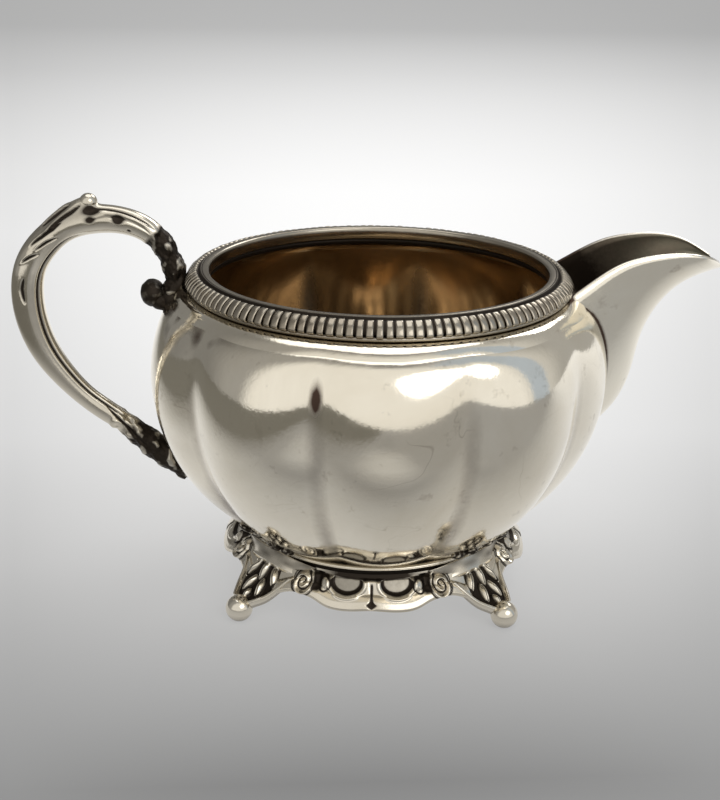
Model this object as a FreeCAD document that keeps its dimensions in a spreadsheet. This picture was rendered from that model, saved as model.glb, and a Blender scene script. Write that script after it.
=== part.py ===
import FreeCAD
import Part
import Sketcher
import math
import os

# Silver cream jug: a ten-lobed round bowl with a gadrooned rim, an open
# beak spout, a cast scroll handle and a flared base on four leaf-topped ball
# feet.  Millimetres, +Z up, +X to the spout, -X to the handle.  The pieces are
# drawn round the axis of the bowl and then moved, so that the origin lies
# under the middle of the whole jug, in the plane that the feet stand on.

Vector = FreeCAD.Vector
doc = FreeCAD.newDocument("cream_jug")

# ---------------------------------------------------------------- sizes
SIZES = [
    ("lobe_count", 10, "lobes round the bowl, with a crease behind the spout"),
    ("wall", 1.1, "sheet thickness of the bowl"),
    ("crease_depth", 2.1, "how far a crease lies inside the crown of a lobe"),
    ("bottom_radius", 26.6, "flat bottom of the bowl"),
    ("bottom_height", 12.4, "flat bottom of the bowl above the standing plane"),
    ("low_radius", 32.0, "bowl where its underside turns up"),
    ("low_rise", 4.0, "that point above the flat bottom"),
    ("flank_radius", 41.0, "bowl on its lower flank"),
    ("flank_rise", 14.8, "that point above the flat bottom"),
    ("belly_radius", 45.8, "widest part of the bowl"),
    ("belly_rise", 32.0, "widest part above the flat bottom"),
    ("shoulder_radius", 44.0, "bowl on its shoulder"),
    ("shoulder_rise", 42.2, "shoulder above the flat bottom"),
    ("turn_in_share", 0.62, "where the shoulder turns in, from the neck to the shoulder"),
    ("turn_in_rise", 46.6, "that point above the flat bottom"),
    ("neck_radius", 36.4, "bowl where it meets the rim"),
    ("neck_rise", 48.8, "top edge of the bowl above the flat bottom"),
    ("bead_rise", 1.2, "height of the plain bead under the rim band"),
    ("bead_overhang", 1.2, "bead outside the neck"),
    ("mouth_radius", 33.2, "inside of the rim"),
    ("lip_width", 1.9, "flat inner lip of the rim"),
    ("rim_rise", 2.7, "height of the lip and the band"),
    ("band_width", 2.9, "gadrooned band outside the lip"),
    ("rib_count", 120, "gadroon ribs round the band"),
    ("rib_gap", 0.7, "width of the groove between two ribs"),
    ("rib_depth", 0.75, "depth of that groove"),
    ("band_chamfer", 0.9, "rounding of the band's outer corners"),
    ("spout_reach", 68.0, "lip of the spout from the axis"),
        ("spout_half_width", 9.8, "half width of the spout half way along"),
    ("spout_crest_height", 69.5, "highest point of the spout's edge"),
    ("spout_foot_height", 29.5, "where the keel of the spout leaves the bowl"),
    ("spout_wall", 1.0, "sheet thickness of the spout"),
    ("port_half_width", 7.2, "half width of the opening behind the spout"),
    ("port_bottom", 44.5, "bottom of that opening"),
    ("port_top", 59.6, "top of that opening"),
    ("handle_reach", 71.6, "outside of the handle from the axis"),
    ("handle_radius", 3.05, "half thickness of the handle at its back"),
    ("handle_top", 76.9, "top of the handle's arch"),
    ("handle_foot_height", 21.1, "end of the handle's tail on the bowl"),
    ("bud_radius", 2.5, "leaf bud on top of the handle"),
    ("collar_radius", 27.2, "outside of the ring under the bowl"),
    ("collar_width", 2.4, "width of that ring"),
    ("collar_rise", 2.6, "height of that ring"),
    ("border_flare", 3.6, "lower edge of the scroll border outside the ring"),
    ("border_drop", 5.6, "lower edge of the border below the bottom"),
    ("border_wall", 1.1, "thickness of the border"),
    ("border_notch", 2.3, "radius of the notches in the border's edge"),
    ("base_turn", -4.7, "turn of the soldered base from the lobes, degrees"),
    ("foot_radius", 36.6, "centres of the ball feet from the axis"),
    ("ball_radius", 2.67, "ball foot"),
    ("ball_wear", 0.22, "worn flat under a ball"),
    ("leg_width", 12.0, "width of a leg at the bowl"),
    ("leg_ankle", 4.8, "width of a leg at its ball"),
    ("leg_wall", 1.4, "thickness of a leg"),
    ("crest_width", 8.8, "width of the leaf above a foot"),
    ("crest_length", 4.8, "length of that leaf up the bowl"),
    ("crest_wall", 0.8, "thickness of that leaf"),
]

sheet = doc.addObject("Spreadsheet::Sheet", "sizes")
for row, (alias, value, note) in enumerate(SIZES, start=1):
    sheet.set("A%d" % row, alias)
    sheet.set("B%d" % row, str(value))
    sheet.setAlias("B%d" % row, alias)
    sheet.set("C%d" % row, note)
doc.recompute()


def size(alias):
    """The value of one named size."""
    return float(sheet.get(alias))


NODES = []


def keep(feature, label):
    """Name one finished sub-part."""
    feature.Label = label
    NODES.append(feature)
    return feature


def feature_of(shape, label):
    """A sub-part from a computed shape, in the object's own frame."""
    feature = doc.addObject("Part::Feature", label)
    feature.Shape = shape
    feature.Placement = FreeCAD.Placement()
    return keep(feature, label)


# ---------------------------------------------------------------- levels
bottom = size("bottom_height")
neck_height = bottom + size("neck_rise")
bead_top = neck_height + size("bead_rise")
rim_top = bead_top + size("rim_rise")
lip_radius = size("mouth_radius") + size("lip_width")
band_radius = lip_radius + size("band_width")


# ------------------------------------------------------- turned rings
def turned_body(name, corners):
    """A ring turned about +Z from a closed profile of (radius, height)
    expressions, each bound to the sheet."""
    body = doc.addObject("PartDesign::Body", name + "_body")
    sketch = body.newObject("Sketcher::SketchObject", name + "_profile")
    plane = [f for f in body.Origin.OriginFeatures if f.Role == "XZ_Plane"][0]
    sketch.AttachmentSupport = [(plane, "")]
    sketch.MapMode = "FlatFace"
    count = len(corners)
    start = [Vector(30 + i, 10 + i * i, 0) for i in range(count)]
    for i in range(count):
        sketch.addGeometry(Part.LineSegment(start[i], start[(i + 1) % count]), False)
    for i in range(count):
        sketch.addConstraint(Sketcher.Constraint("Coincident", i, 2, (i + 1) % count, 1))
    for i, (radius, height) in enumerate(corners):
        across = sketch.addConstraint(Sketcher.Constraint("DistanceX", -1, 1, i, 1, start[i].x))
        up = sketch.addConstraint(Sketcher.Constraint("DistanceY", -1, 1, i, 1, start[i].y))
        sketch.setExpression("Constraints[%d]" % across, radius)
        sketch.setExpression("Constraints[%d]" % up, height)
    doc.recompute()
    turn = body.newObject("PartDesign::Revolution", name + "_turn")
    turn.Profile = sketch
    turn.ReferenceAxis = (sketch, ["V_Axis"])
    turn.Angle = 360.0
    body.Tip = turn
    doc.recompute()
    return body


NECK_Z = "(sizes.bottom_height + sizes.neck_rise)"
BEAD_Z = "(sizes.bottom_height + sizes.neck_rise + sizes.bead_rise)"
RIM_Z = "(sizes.bottom_height + sizes.neck_rise + sizes.bead_rise + sizes.rim_rise)"
LIP_R = "(sizes.mouth_radius + sizes.lip_width)"
BAND_R = "(sizes.mouth_radius + sizes.lip_width + sizes.band_width)"
BEAD_R = "(sizes.neck_radius + sizes.bead_overhang)"

# plain bead between the bowl and the band: its round face looks outwards
bead = turned_body("rim_under_bead", [
    (LIP_R + " - 1.2", NECK_Z),
    (BEAD_R + " - 0.45", NECK_Z),
    (BEAD_R, NECK_Z + " + 0.35 * sizes.bead_rise"),
    (BEAD_R, NECK_Z + " + 0.7 * sizes.bead_rise"),
    (BEAD_R + " - 0.35", BEAD_Z),
    (LIP_R + " - 1.2", BEAD_Z),
])
keep(bead, "rim_under_bead")

# flat lip round the mouth, its inner corner eased
lip = turned_body("rim_top_lip", [
    ("sizes.mouth_radius", BEAD_Z + " + 0.3"),
    ("sizes.mouth_radius + 0.3", BEAD_Z),
    (LIP_R, BEAD_Z),
    (LIP_R, RIM_Z),
    ("sizes.mouth_radius + 0.5", RIM_Z),
    ("sizes.mouth_radius", RIM_Z + " - 0.5"),
])
keep(lip, "rim_top_lip")

# gadrooned band: a turned ring with its outer corners taken off ...
band_blank = turned_body("rim_band_blank", [
    (LIP_R, BEAD_Z),
    (BAND_R + " - 0.7 * sizes.band_chamfer", BEAD_Z),
    (BAND_R, BEAD_Z + " + 0.8 * sizes.band_chamfer"),
    (BAND_R, RIM_Z + " - 1.1 * sizes.band_chamfer"),
    (BAND_R + " - 0.75 * sizes.band_chamfer", RIM_Z + " - 0.3 * sizes.band_chamfer"),
    (BAND_R + " - 1.9 * sizes.band_chamfer", RIM_Z),
    (LIP_R, RIM_Z),
])


# ... and cut by one upright groove between each two ribs
def rib_grooves():
    count = int(size("rib_count"))
    groove = size("rib_gap")
    root = band_radius - size("rib_depth")
    low = bead_top + 0.25
    profile = [
        Vector(root, -groove / 2, low),
        Vector(band_radius + 1, -groove / 2, low),
        Vector(band_radius + 1, -groove / 2, rim_top + 1),
        Vector(root - 1.1, -groove / 2, rim_top + 1),
        Vector(root - 1.1, -groove / 2, rim_top - 0.55),
        Vector(root, -groove / 2, rim_top - 1.3),
    ]
    face = Part.Face(Part.makePolygon(profile + profile[:1]))
    tool = face.extrude(Vector(0, groove, 0))
    tools = []
    for i in range(count):
        copy = tool.copy()
        copy.rotate(Vector(0, 0, 0), Vector(0, 0, 1), 360.0 * i / count)
        tools.append(copy)
    return Part.makeCompound(tools)


band = feature_of(band_blank.Shape.cut(rib_grooves()), "rim_gadroon_band")


# ------------------------------------------------------------- bowl
def bowl_profile(count):
    """Radius and height along the crown of a lobe, from bottom to neck."""
    crown = [
        ("bottom_radius", None),
        ("low_radius", "low_rise"),
        ("flank_radius", "flank_rise"),
        ("belly_radius", "belly_rise"),
        ("shoulder_radius", "shoulder_rise"),
    ]
    points = []
    for radius, rise in crown:
        height = bottom + (size(rise) if rise else 0.0)
        points.append(Vector(size(radius), 0, height))
    neck = size("neck_radius")
    turn_in = neck + size("turn_in_share") * (size("shoulder_radius") - neck)
    points.append(Vector(turn_in, 0, bottom + size("turn_in_rise")))
    points.append(Vector(neck, 0, neck_height))
    curve = Part.BSplineCurve()
    curve.interpolate(points)
    first, last = curve.FirstParameter, curve.LastParameter
    stations = []
    for i in range(count):
        share = i / (count - 1)
        at = first + (last - first) * share
        spot = curve.value(at)
        along = curve.tangent(at)[0]
        stations.append((share, spot, Vector(-along.z, 0, along.x)))
    return stations


def lobed_wire(radius, height, share):
    """One level of the bowl: an arc for each lobe, meeting in creases that
    run out at the bottom and at the neck."""
    count = int(size("lobe_count"))
    rise = min(1.0, 0.35 + share / 0.45)
    fall = min(1.0, (1.0 - share) / 0.38)
    fade = rise * fall * fall * (3.0 - 2.0 * fall)
    crease = radius - 0.1 - size("crease_depth") * fade
    step = 2 * math.pi / count
    arcs = []
    for i in range(count):
        middle = (i + 0.5) * step
        ends = []
        for side in (-0.5, 0.5):
            angle = middle + side * step
            ends.append(Vector(crease * math.cos(angle), crease * math.sin(angle), height))
        crown = Vector(radius * math.cos(middle), radius * math.sin(middle), height)
        arcs.append(Part.Arc(ends[0], crown, ends[1]).toShape())
    return Part.Wire(arcs)


LEVELS = 13
outer_wires = []
inner_wires = []
for share, spot, inward in bowl_profile(LEVELS):
    outer_wires.append(lobed_wire(spot.x, spot.z, share))
    inside = spot + inward * size("wall")
    if share == 1.0:
        inside = Vector(spot.x - 1.2 * size("wall"), 0, neck_height)
    inner_wires.append(lobed_wire(inside.x, inside.z, share))
bowl_outer = Part.makeLoft(outer_wires, True, False)
bowl_inner = Part.makeLoft(inner_wires, True, False)

# the opening through the wall into the spout, below the rim
half = size("port_half_width")
port = Part.makeBox(
    30, 2 * half, size("port_top") - size("port_bottom"),
    Vector(30, -half, size("port_bottom")),
)
port = port.makeFillet(3.5, [e for e in port.Edges if e.BoundBox.XLength > 29])
bowl = feature_of(bowl_outer.cut(bowl_inner).cut(port), "bowl")


# ------------------------------------------------------ common parts
def largest(shape):
    """The main solid of a cut, without its offcuts."""
    return sorted(shape.Solids, key=lambda s: s.Volume)[-1]


def ring_block(radius, low, high):
    """A disc that stands for what lies inside a ring of the rim."""
    return Part.makeCylinder(radius, high - low, Vector(0, 0, low))


rim_block = ring_block(size("neck_radius") + size("bead_overhang"), neck_height, bead_top)
rim_block = rim_block.fuse(ring_block(band_radius, bead_top, rim_top + 6))

# ------------------------------------------------------------- spout
# Stations from the bowl to the lip of the beak.  Each is the edge of the
# trough (share of the way out, half width as a share of the girth, share of
# the way up) and its keel (share of the way out, share of the way up).  The
# edge starts inside the neck and the keel inside the belly.
reach = size("spout_reach")
crest = size("spout_crest_height")
foot = size("spout_foot_height")
girth = size("spout_half_width")
edge_root = size("neck_radius") - 4.0
keel_root = size("belly_radius") - 3.4
SPOUT_SHARES = [
    (0.000, 1.18, 0.735, 0.000, 0.000),
    (0.155, 1.14, 0.835, 0.258, 0.163),
    (0.310, 1.04, 0.922, 0.363, 0.325),
    (0.465, 1.00, 0.978, 0.410, 0.526),
    (0.620, 0.98, 1.000, 0.508, 0.688),
    (0.760, 0.93, 0.998, 0.680, 0.810),
    (0.887, 0.71, 0.965, 0.867, 0.866),
    (0.972, 0.35, 0.923, 1.000, 0.882),
]
SPOUT = []
for edge_out, width, edge_up, keel_out, keel_up in SPOUT_SHARES:
    SPOUT.append((
        edge_root + edge_out * (reach - edge_root),
        width * girth,
        foot + edge_up * (crest - foot),
        keel_root + keel_out * (reach - keel_root),
        foot + keel_up * (crest - foot),
    ))


def trough_section(edge_x, half_width, edge_z, keel_x, keel_z, wall):
    """A U of sheet metal, in the plane of its two edges and its keel."""
    down = Vector(keel_x - edge_x, 0, keel_z - edge_z)
    depth = down.Length
    down.normalize()
    centre = Vector(edge_x, 0, edge_z)
    sides = []
    for inset in (0.0, wall):
        points = []
        for k in range(9):
            angle = math.pi * k / 8.0
            across = (half_width - inset) * math.cos(angle)
            points.append(centre + down * ((depth - inset) * math.sin(angle)) + Vector(0, across, 0))
        points[0] = centre + Vector(0, half_width - inset, 0)
        points[8] = centre - Vector(0, half_width - inset, 0)
        if inset:
            points.reverse()
        curve = Part.BSplineCurve()
        curve.interpolate(points)
        sides.append((curve.toShape(), points[0], points[8]))
    outside, inside = sides
    return Part.Wire([
        outside[0],
        Part.LineSegment(outside[2], inside[1]).toShape(),
        inside[0],
        Part.LineSegment(inside[2], outside[1]).toShape(),
    ])


spout_sections = [trough_section(*station, size("spout_wall")) for station in SPOUT]
spout_sheet = Part.makeLoft(spout_sections, True, False)
spout_shape = spout_sheet.cut([bowl_outer, rim_block])
spout = feature_of(largest(spout_shape), "spout")

# ------------------------------------------------------------- handle
# Centre line of the cast scroll: curl beside the rim, arch, back, tail that
# runs down the bowl.  Each station is a share of the way out from the bowl,
# a share of the way up and a share of the half thickness.
handle_root = size("belly_radius") - 7.3
handle_out = size("handle_reach") - handle_root
thick = size("handle_radius")
arch = size("handle_top")
tail = size("handle_foot_height")
HANDLE_SHARES = [
    (0.187, 0.706, 0.49),
    (0.106, 0.677, 0.62),
    (0.042, 0.720, 0.69),
    (0.051, 0.787, 0.69),
    (0.109, 0.864, 0.72),
    (0.202, 0.918, 0.79),
    (0.344, 0.948, 0.85),
    (0.498, 0.952, 0.92),
    (0.647, 0.930, 0.92),
    (0.789, 0.867, 0.95),
    (0.879, 0.785, 0.98),
    (0.908, 0.695, 1.00),
    (0.897, 0.595, 0.98),
    (0.840, 0.487, 0.92),
    (0.722, 0.376, 0.79),
    (0.601, 0.297, 0.70),
    (0.480, 0.240, 0.70),
    (0.372, 0.192, 0.70),
    (0.242, 0.124, 0.87),
    (0.112, 0.056, 0.82),
    (0.000, 0.000, 0.66),
]


def on_handle(out, up):
    """A spot in the plane of the handle from its two shares."""
    return Vector(-handle_root - out * handle_out, 0, tail + up * (arch - tail))


HANDLE = []
for out, up, share in HANDLE_SHARES:
    spot = on_handle(out, up)
    HANDLE.append((spot.x, spot.z, share * thick))


def round_bar(stations):
    """A bar with a round section of changing thickness along a curve."""
    line = Part.BSplineCurve()
    line.interpolate([Vector(x, 0, z) for x, z, r in stations])
    rings = []
    for x, z, radius in stations:
        at = line.parameter(Vector(x, 0, z))
        ring = Part.Circle(Vector(x, 0, z), line.tangent(at)[0], radius)
        rings.append(Part.Wire(ring.toShape()))
    return Part.makeLoft(rings, True, False)


bud_radius = size("bud_radius")
bud = Part.makeSphere(bud_radius, on_handle(0.544, 1.0))
bud = bud.fuse(Part.makeSphere(0.6 * bud_radius, on_handle(0.625, 0.985)))
curl = Part.makeSphere(0.7 * thick, on_handle(0.190, 0.717))
handle_shape = round_bar(HANDLE).fuse(bud).fuse(curl)
handle_shape = handle_shape.cut([bowl_outer, rim_block])
handle = feature_of(largest(handle_shape), "handle")

# --------------------------------------------------------------- base
collar = turned_body("base_collar", [
    ("sizes.collar_radius - sizes.collar_width", "sizes.bottom_height - sizes.collar_rise"),
    ("sizes.collar_radius - 0.4", "sizes.bottom_height - sizes.collar_rise"),
    ("sizes.collar_radius", "sizes.bottom_height - sizes.collar_rise + 0.4"),
    ("sizes.collar_radius", "sizes.bottom_height"),
    ("sizes.collar_radius - sizes.collar_width", "sizes.bottom_height"),
])
keep(collar, "base_collar")
collar_radius = size("collar_radius")
collar_block = ring_block(collar_radius, bottom - size("collar_rise"), bottom)
turn = size("base_turn")

# Each piece of the base is made lying along +X, cut to the lobes as they lie
# where it goes, and then placed at its own angle.
UP = Vector(0, 0, 1)


def lobes_at(angle):
    """The outside of the bowl as it lies for a piece placed at an angle."""
    copy = bowl_outer.copy()
    copy.rotate(Vector(0, 0, 0), UP, -(angle + turn))
    return copy


def turned(shape, angle):
    copy = shape.copy()
    copy.rotate(Vector(0, 0, 0), UP, angle)
    return copy


def placed_feature(shape, label, angle):
    """A base piece, placed at its own angle about the axis."""
    feature = doc.addObject("Part::Feature", label)
    feature.Shape = shape
    feature.Placement = FreeCAD.Placement(Vector(0, 0, 0), FreeCAD.Rotation(UP, angle + turn))
    return keep(feature, label)


# one leg: a flared plate from the ring down to its ball
def leg_section(radius, height, slope, width, wall):
    """A curved strip across the leg, square to the way the leg runs."""
    outward = Vector(math.cos(slope), 0, math.sin(slope))
    dip = 0.13 * width
    ends = []
    for shift in (0.0, -wall):
        middle = Vector(radius, 0, height) + outward * shift
        left = middle - outward * dip + Vector(0, -width / 2, 0)
        right = middle - outward * dip + Vector(0, width / 2, 0)
        ends.append((left, middle, right))
    front, rear = ends
    return Part.Wire([
        Part.Arc(*front).toShape(),
        Part.LineSegment(front[2], rear[2]).toShape(),
        Part.Arc(rear[2], rear[1], rear[0]).toShape(),
        Part.LineSegment(rear[0], front[0]).toShape(),
    ])


def leg_solid():
    out = size("foot_radius") - collar_radius
    wide = size("leg_width")
    slim = size("leg_ankle")
    wall = size("leg_wall")
    stations = [
        (collar_radius + 0.14 * out, bottom * 1.03, 0.35, wide * 0.95),
        (collar_radius + 0.27 * out, bottom * 0.82, 0.6, wide),
        (collar_radius + 0.47 * out, bottom * 0.63, 0.75, slim + 0.6 * (wide - slim)),
        (collar_radius + 0.70 * out, bottom * 0.44, 0.7, slim + 0.26 * (wide - slim)),
        (collar_radius + 0.93 * out, bottom * 0.27, 0.6, slim),
    ]
    return Part.makeLoft([leg_section(*station, wall) for station in stations], True, False)


leg = leg_solid()
ball_height = size("ball_radius") - size("ball_wear")
ball = Part.makeSphere(size("ball_radius"), Vector(size("foot_radius"), 0, ball_height))
ball = ball.cut(Part.makeBox(20, 20, 10, Vector(size("foot_radius") - 10, -10, -10)))
leg_and_ball = leg.fuse(ball)

FEET = [("front_right", -45), ("back_right", 45), ("back_left", 135), ("front_left", 225)]
whole_leg = largest(leg_and_ball.cut(collar_block))
foot_shapes = {}
for name, angle in FEET:
    foot_shapes[name] = largest(whole_leg.cut(lobes_at(angle)))
    placed_feature(foot_shapes[name], "foot_" + name, angle)


# scroll border between two legs: a flared rail with a waved lower edge
def border_segment():
    flare = size("border_flare")
    drop = size("border_drop")
    thickness = size("border_wall")
    radius = collar_radius
    profile = [
        Vector(radius, 0, bottom - 0.1),
        Vector(radius, 0, bottom - 1.5),
        Vector(radius + 0.45 * flare, 0, bottom - 0.62 * drop),
        Vector(radius + flare - thickness, 0, bottom - drop),
        Vector(radius + flare, 0, bottom - drop),
        Vector(radius + 0.9 * flare, 0, bottom - 0.66 * drop),
        Vector(radius + 0.6 * flare, 0, bottom - 0.3 * drop),
        Vector(radius + thickness, 0, bottom - 0.1),
    ]
    half_turn = math.radians(38.0)
    start = []
    for spot in profile + profile[:1]:
        start.append(Vector(spot.x * math.cos(half_turn), -spot.x * math.sin(half_turn), spot.z))
    face = Part.Face(Part.makePolygon(start))
    rail = face.revolve(Vector(0, 0, 0), UP, 76.0)
    notch = size("border_notch")
    for angle in (-24, -8, 8, 24):
        hole = Part.makeCylinder(notch, 12, Vector(radius - 4, 0, bottom - drop - 1.1), Vector(1, 0, 0))
        hole.rotate(Vector(0, 0, 0), Vector(0, 0, 1), angle)
        rail = rail.cut(hole)
    return rail


border = border_segment().cut(collar_block)
border = largest(border.cut(turned(whole_leg, -45)).cut(turned(whole_leg, 45)))
BORDERS = [("spout", 0), ("back", 90), ("handle", 180), ("front", 270)]
for name, angle in BORDERS:
    placed_feature(largest(border.cut(lobes_at(angle))), "scroll_border_" + name, angle)


# leaf above each foot, laid on the underside of the bowl
def leaf_crest():
    start = size("bottom_radius") + 1.6
    end = start + size("crest_length")
    width = size("crest_width") / 2
    outline = Part.BSplineCurve()
    outline.interpolate(
        Points=[
            Vector(start, -width * 0.62, 0),
            Vector(start + 0.3 * (end - start), -width, 0),
            Vector(start + 0.68 * (end - start), -width * 0.6, 0),
            Vector(end, 0, 0),
            Vector(start + 0.68 * (end - start), width * 0.6, 0),
            Vector(start + 0.3 * (end - start), width, 0),
            Vector(start, width * 0.62, 0),
        ],
    )
    close = Part.LineSegment(Vector(start, width * 0.62, 0), Vector(start, -width * 0.62, 0))
    leaf = Part.Face(Part.Wire([outline.toShape(), close.toShape()]))
    return leaf.extrude(Vector(0, 0, bottom + 12))


def grown_bowl():
    """The underside of the bowl, grown outwards by the leaf's thickness."""
    wires = []
    for share, spot, inward in bowl_profile(LEVELS)[:6]:
        grown = spot - inward * size("crest_wall")
        wires.append(lobed_wire(grown.x, grown.z, share))
    return Part.makeLoft(wires, True, False)


crest_outline = leaf_crest()
crest_blank = grown_bowl()
for name, angle in FEET:
    leaf = crest_outline.common(turned(crest_blank, -(angle + turn)))
    leaf = largest(leaf.cut(lobes_at(angle)).cut(foot_shapes[name]))
    placed_feature(leaf, "leaf_crest_" + name, angle)

# --------------------------------------------------------- the frame
# The handle reaches further than the spout, so the axis of the bowl lies a
# little ahead of the middle of the jug.
ahead = 0.5 * (size("handle_reach") - size("spout_reach"))
to_middle = FreeCAD.Placement(Vector(ahead, 0, 0), FreeCAD.Rotation())
for node in NODES:
    node.Placement = to_middle.multiply(node.Placement)

# ------------------------------------------------------------- output
doc.recompute()
for item in doc.Objects:
    state = list(item.State)
    if "Invalid" in state or "Error" in state:
        raise RuntimeError("failed object: " + item.Name)
os.makedirs("parts", exist_ok=True)
total = 0.0
for node in NODES:
    shape = node.Shape
    if shape.isNull() or not shape.isValid():
        raise RuntimeError("bad shape: " + node.Label)
    total += shape.Volume
    shape.exportStep("parts/%s.step" % node.Label)
    box = shape.BoundBox
    print("%-26s %d solid(s) %9.1f mm3  x %.1f..%.1f  y %.1f..%.1f  z %.1f..%.1f" % (
        node.Label, len(shape.Solids), shape.Volume,
        box.XMin, box.XMax, box.YMin, box.YMax, box.ZMin, box.ZMax))
print("nodes %d, metal %.1f cm3" % (len(NODES), total / 1000.0))
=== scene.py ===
# %% [markdown]
# # A silver cream jug
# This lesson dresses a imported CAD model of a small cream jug: a round bowl
# beaten into ten lobes, a gadrooned rim, an open beak spout, a cast scroll
# handle and a flared base on four leaf-topped ball feet.  The CAD model says
# where everything is; here each piece gets its finer form and its polish.

# %% Load the frame and note the size of the CAD model
import math

import bmesh
import bpy
import numpy as np
from mathutils import Matrix, Vector, noise


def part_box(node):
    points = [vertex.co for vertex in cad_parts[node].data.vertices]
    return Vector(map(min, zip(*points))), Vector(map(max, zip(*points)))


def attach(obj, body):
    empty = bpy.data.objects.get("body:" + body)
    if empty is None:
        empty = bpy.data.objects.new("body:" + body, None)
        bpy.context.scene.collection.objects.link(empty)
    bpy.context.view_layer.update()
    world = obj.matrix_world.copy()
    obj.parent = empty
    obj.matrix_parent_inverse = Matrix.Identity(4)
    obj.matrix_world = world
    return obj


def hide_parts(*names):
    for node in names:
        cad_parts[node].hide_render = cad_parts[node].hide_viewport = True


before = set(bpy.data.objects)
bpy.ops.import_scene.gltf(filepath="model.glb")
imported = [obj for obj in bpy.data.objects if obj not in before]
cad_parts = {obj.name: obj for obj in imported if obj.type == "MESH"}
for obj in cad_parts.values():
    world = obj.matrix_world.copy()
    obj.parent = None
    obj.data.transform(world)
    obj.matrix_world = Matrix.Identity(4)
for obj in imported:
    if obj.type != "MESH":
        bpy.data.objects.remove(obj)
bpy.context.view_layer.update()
MM = 0.001
TURN = math.radians(-4.7)


def node_box(node):
    """Lowest and highest corner of a CAD node, in millimetres."""
    low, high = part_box(node)
    return np.array(low) / MM, np.array(high) / MM


bowl_low = node_box("bowl")[0]
rim_high = node_box("rim_top_lip")[1]
band_low, band_high = node_box("rim_gadroon_band")
spout_high = node_box("spout")[1]
handle_low = node_box("handle")[0]
# the axis of the bowl lies a little ahead of the middle of the jug; the pieces
# are made round the axis and moved there when they are dressed
AHEAD = (band_low[0] + band_high[0]) / 2
print("rim top", rim_high[2], "bottom", bowl_low[2], "axis ahead", AHEAD)

# %% [markdown]
# ## Helpers for shapes
# Most pieces of the jug are swept or turned, so each is a grid of points:
# one direction runs along the piece and the other goes round it.  A grid gives
# even, smooth faces, which matters on polished metal, where a single flat
# facet shows as a kink in the reflections.


# %% A smooth line through a few points
def smooth_line(points, count):
    """A natural cubic spline through the points, at evenly spaced places."""
    points = np.asarray(points, float)
    gaps = np.linalg.norm(np.diff(points[:, :3], axis=0), axis=1)
    knots = np.r_[0.0, np.cumsum(gaps)]
    last = len(points) - 1
    system = np.eye(last + 1)
    right = np.zeros_like(points)
    for i in range(1, last):
        system[i, i - 1:i + 2] = (gaps[i - 1], 2 * (gaps[i - 1] + gaps[i]), gaps[i])
        after = (points[i + 1] - points[i]) / gaps[i]
        before = (points[i] - points[i - 1]) / gaps[i - 1]
        right[i] = 6 * (after - before)
    bend = np.linalg.solve(system, right)
    at = np.linspace(0, knots[-1], count)
    i = np.clip(np.searchsorted(knots, at, "right") - 1, 0, last - 1)
    gap = gaps[i][:, None]
    a = (knots[i + 1] - at)[:, None] / gap
    b = 1 - a
    curve = ((a ** 3 - a) * bend[i] + (b ** 3 - b) * bend[i + 1]) * gap ** 2 / 6
    return a * points[i] + b * points[i + 1] + curve


# %% A mesh from a grid of points
def unit(value):
    """The value, kept between 0 and 1."""
    return np.clip(value, 0, 1)


def placed(name, mesh):
    """A smooth object of a mesh, in the scene."""
    mesh.polygons.foreach_set("use_smooth", [True] * len(mesh.polygons))
    piece = bpy.data.objects.new(name, mesh)
    bpy.context.collection.objects.link(piece)
    return piece


def note_tarnish_and_shade(mesh, tarnish_and_shade):
    """Keep on each point of a mesh how dark it is painted, from 0 to 1: tarnish in its hollows, and in a few
    places painted shade.
    """
    layer = mesh.attributes.new("tarnish_and_shade", "FLOAT", "POINT")
    layer.data.foreach_set("value", tarnish_and_shade)


def grid_piece(name, grid, around=False, tarnish_and_shade=None, caps=False, holes=None):
    """A smooth object from points in rows (millimetres).  around closes each
    row into a loop, caps fills the first and last loop, and the tarnish and
    shade number of each point says how dark it is painted: tarnish in a
    hollow, or in a few places painted shade."""
    rows, columns = grid.shape[:2]
    index = np.arange(rows * columns).reshape(rows, columns)
    faces = []
    wide = columns if around else columns - 1
    for i in range(rows - 1):
        for j in range(wide):
            if holes is not None and holes[i, j]:
                continue
            k = (j + 1) % columns
            faces.append((index[i, j], index[i, k], index[i + 1, k], index[i + 1, j]))
    if caps:
        faces.append(tuple(index[0, ::-1]))
        faces.append(tuple(index[-1]))
    mesh = bpy.data.meshes.new(name)
    corners = [tuple(int(v) for v in face) for face in faces]
    mesh.from_pydata((grid.reshape(-1, 3) * MM).tolist(), [], corners)
    if tarnish_and_shade is not None:
        note_tarnish_and_shade(mesh, unit(tarnish_and_shade).reshape(-1).astype(np.float32))
    return placed(name, mesh)


def outward(piece, weld=False):
    """Turn all the faces of a closed piece outwards, its seam welded or not."""
    shape = bmesh.new()
    shape.from_mesh(piece.data)
    if weld:
        bmesh.ops.remove_doubles(shape, verts=shape.verts, dist=1e-7)
    bmesh.ops.recalc_face_normals(shape, faces=shape.faces)
    shape.to_mesh(piece.data)
    shape.free()
    return piece


def turned_piece(name, profile, segments=360):
    """A ring turned about the upright axis from (radius, height, darkness of tarnish and shade)."""
    profile = np.asarray(profile, float)
    angle = np.linspace(0, 2 * math.pi, segments, endpoint=False)
    radius, height, tarnish_and_shade = profile.T
    grid = np.stack([
        radius[:, None] * np.cos(angle),
        radius[:, None] * np.sin(angle),
        np.repeat(height[:, None], segments, axis=1),
    ], axis=-1)
    grid = np.concatenate([grid, grid[:1]])
    shade = np.repeat(np.r_[tarnish_and_shade, tarnish_and_shade[:1]][:, None], segments, axis=1)
    return outward(grid_piece(name, grid, around=True, tarnish_and_shade=shade), weld=True)


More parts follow.
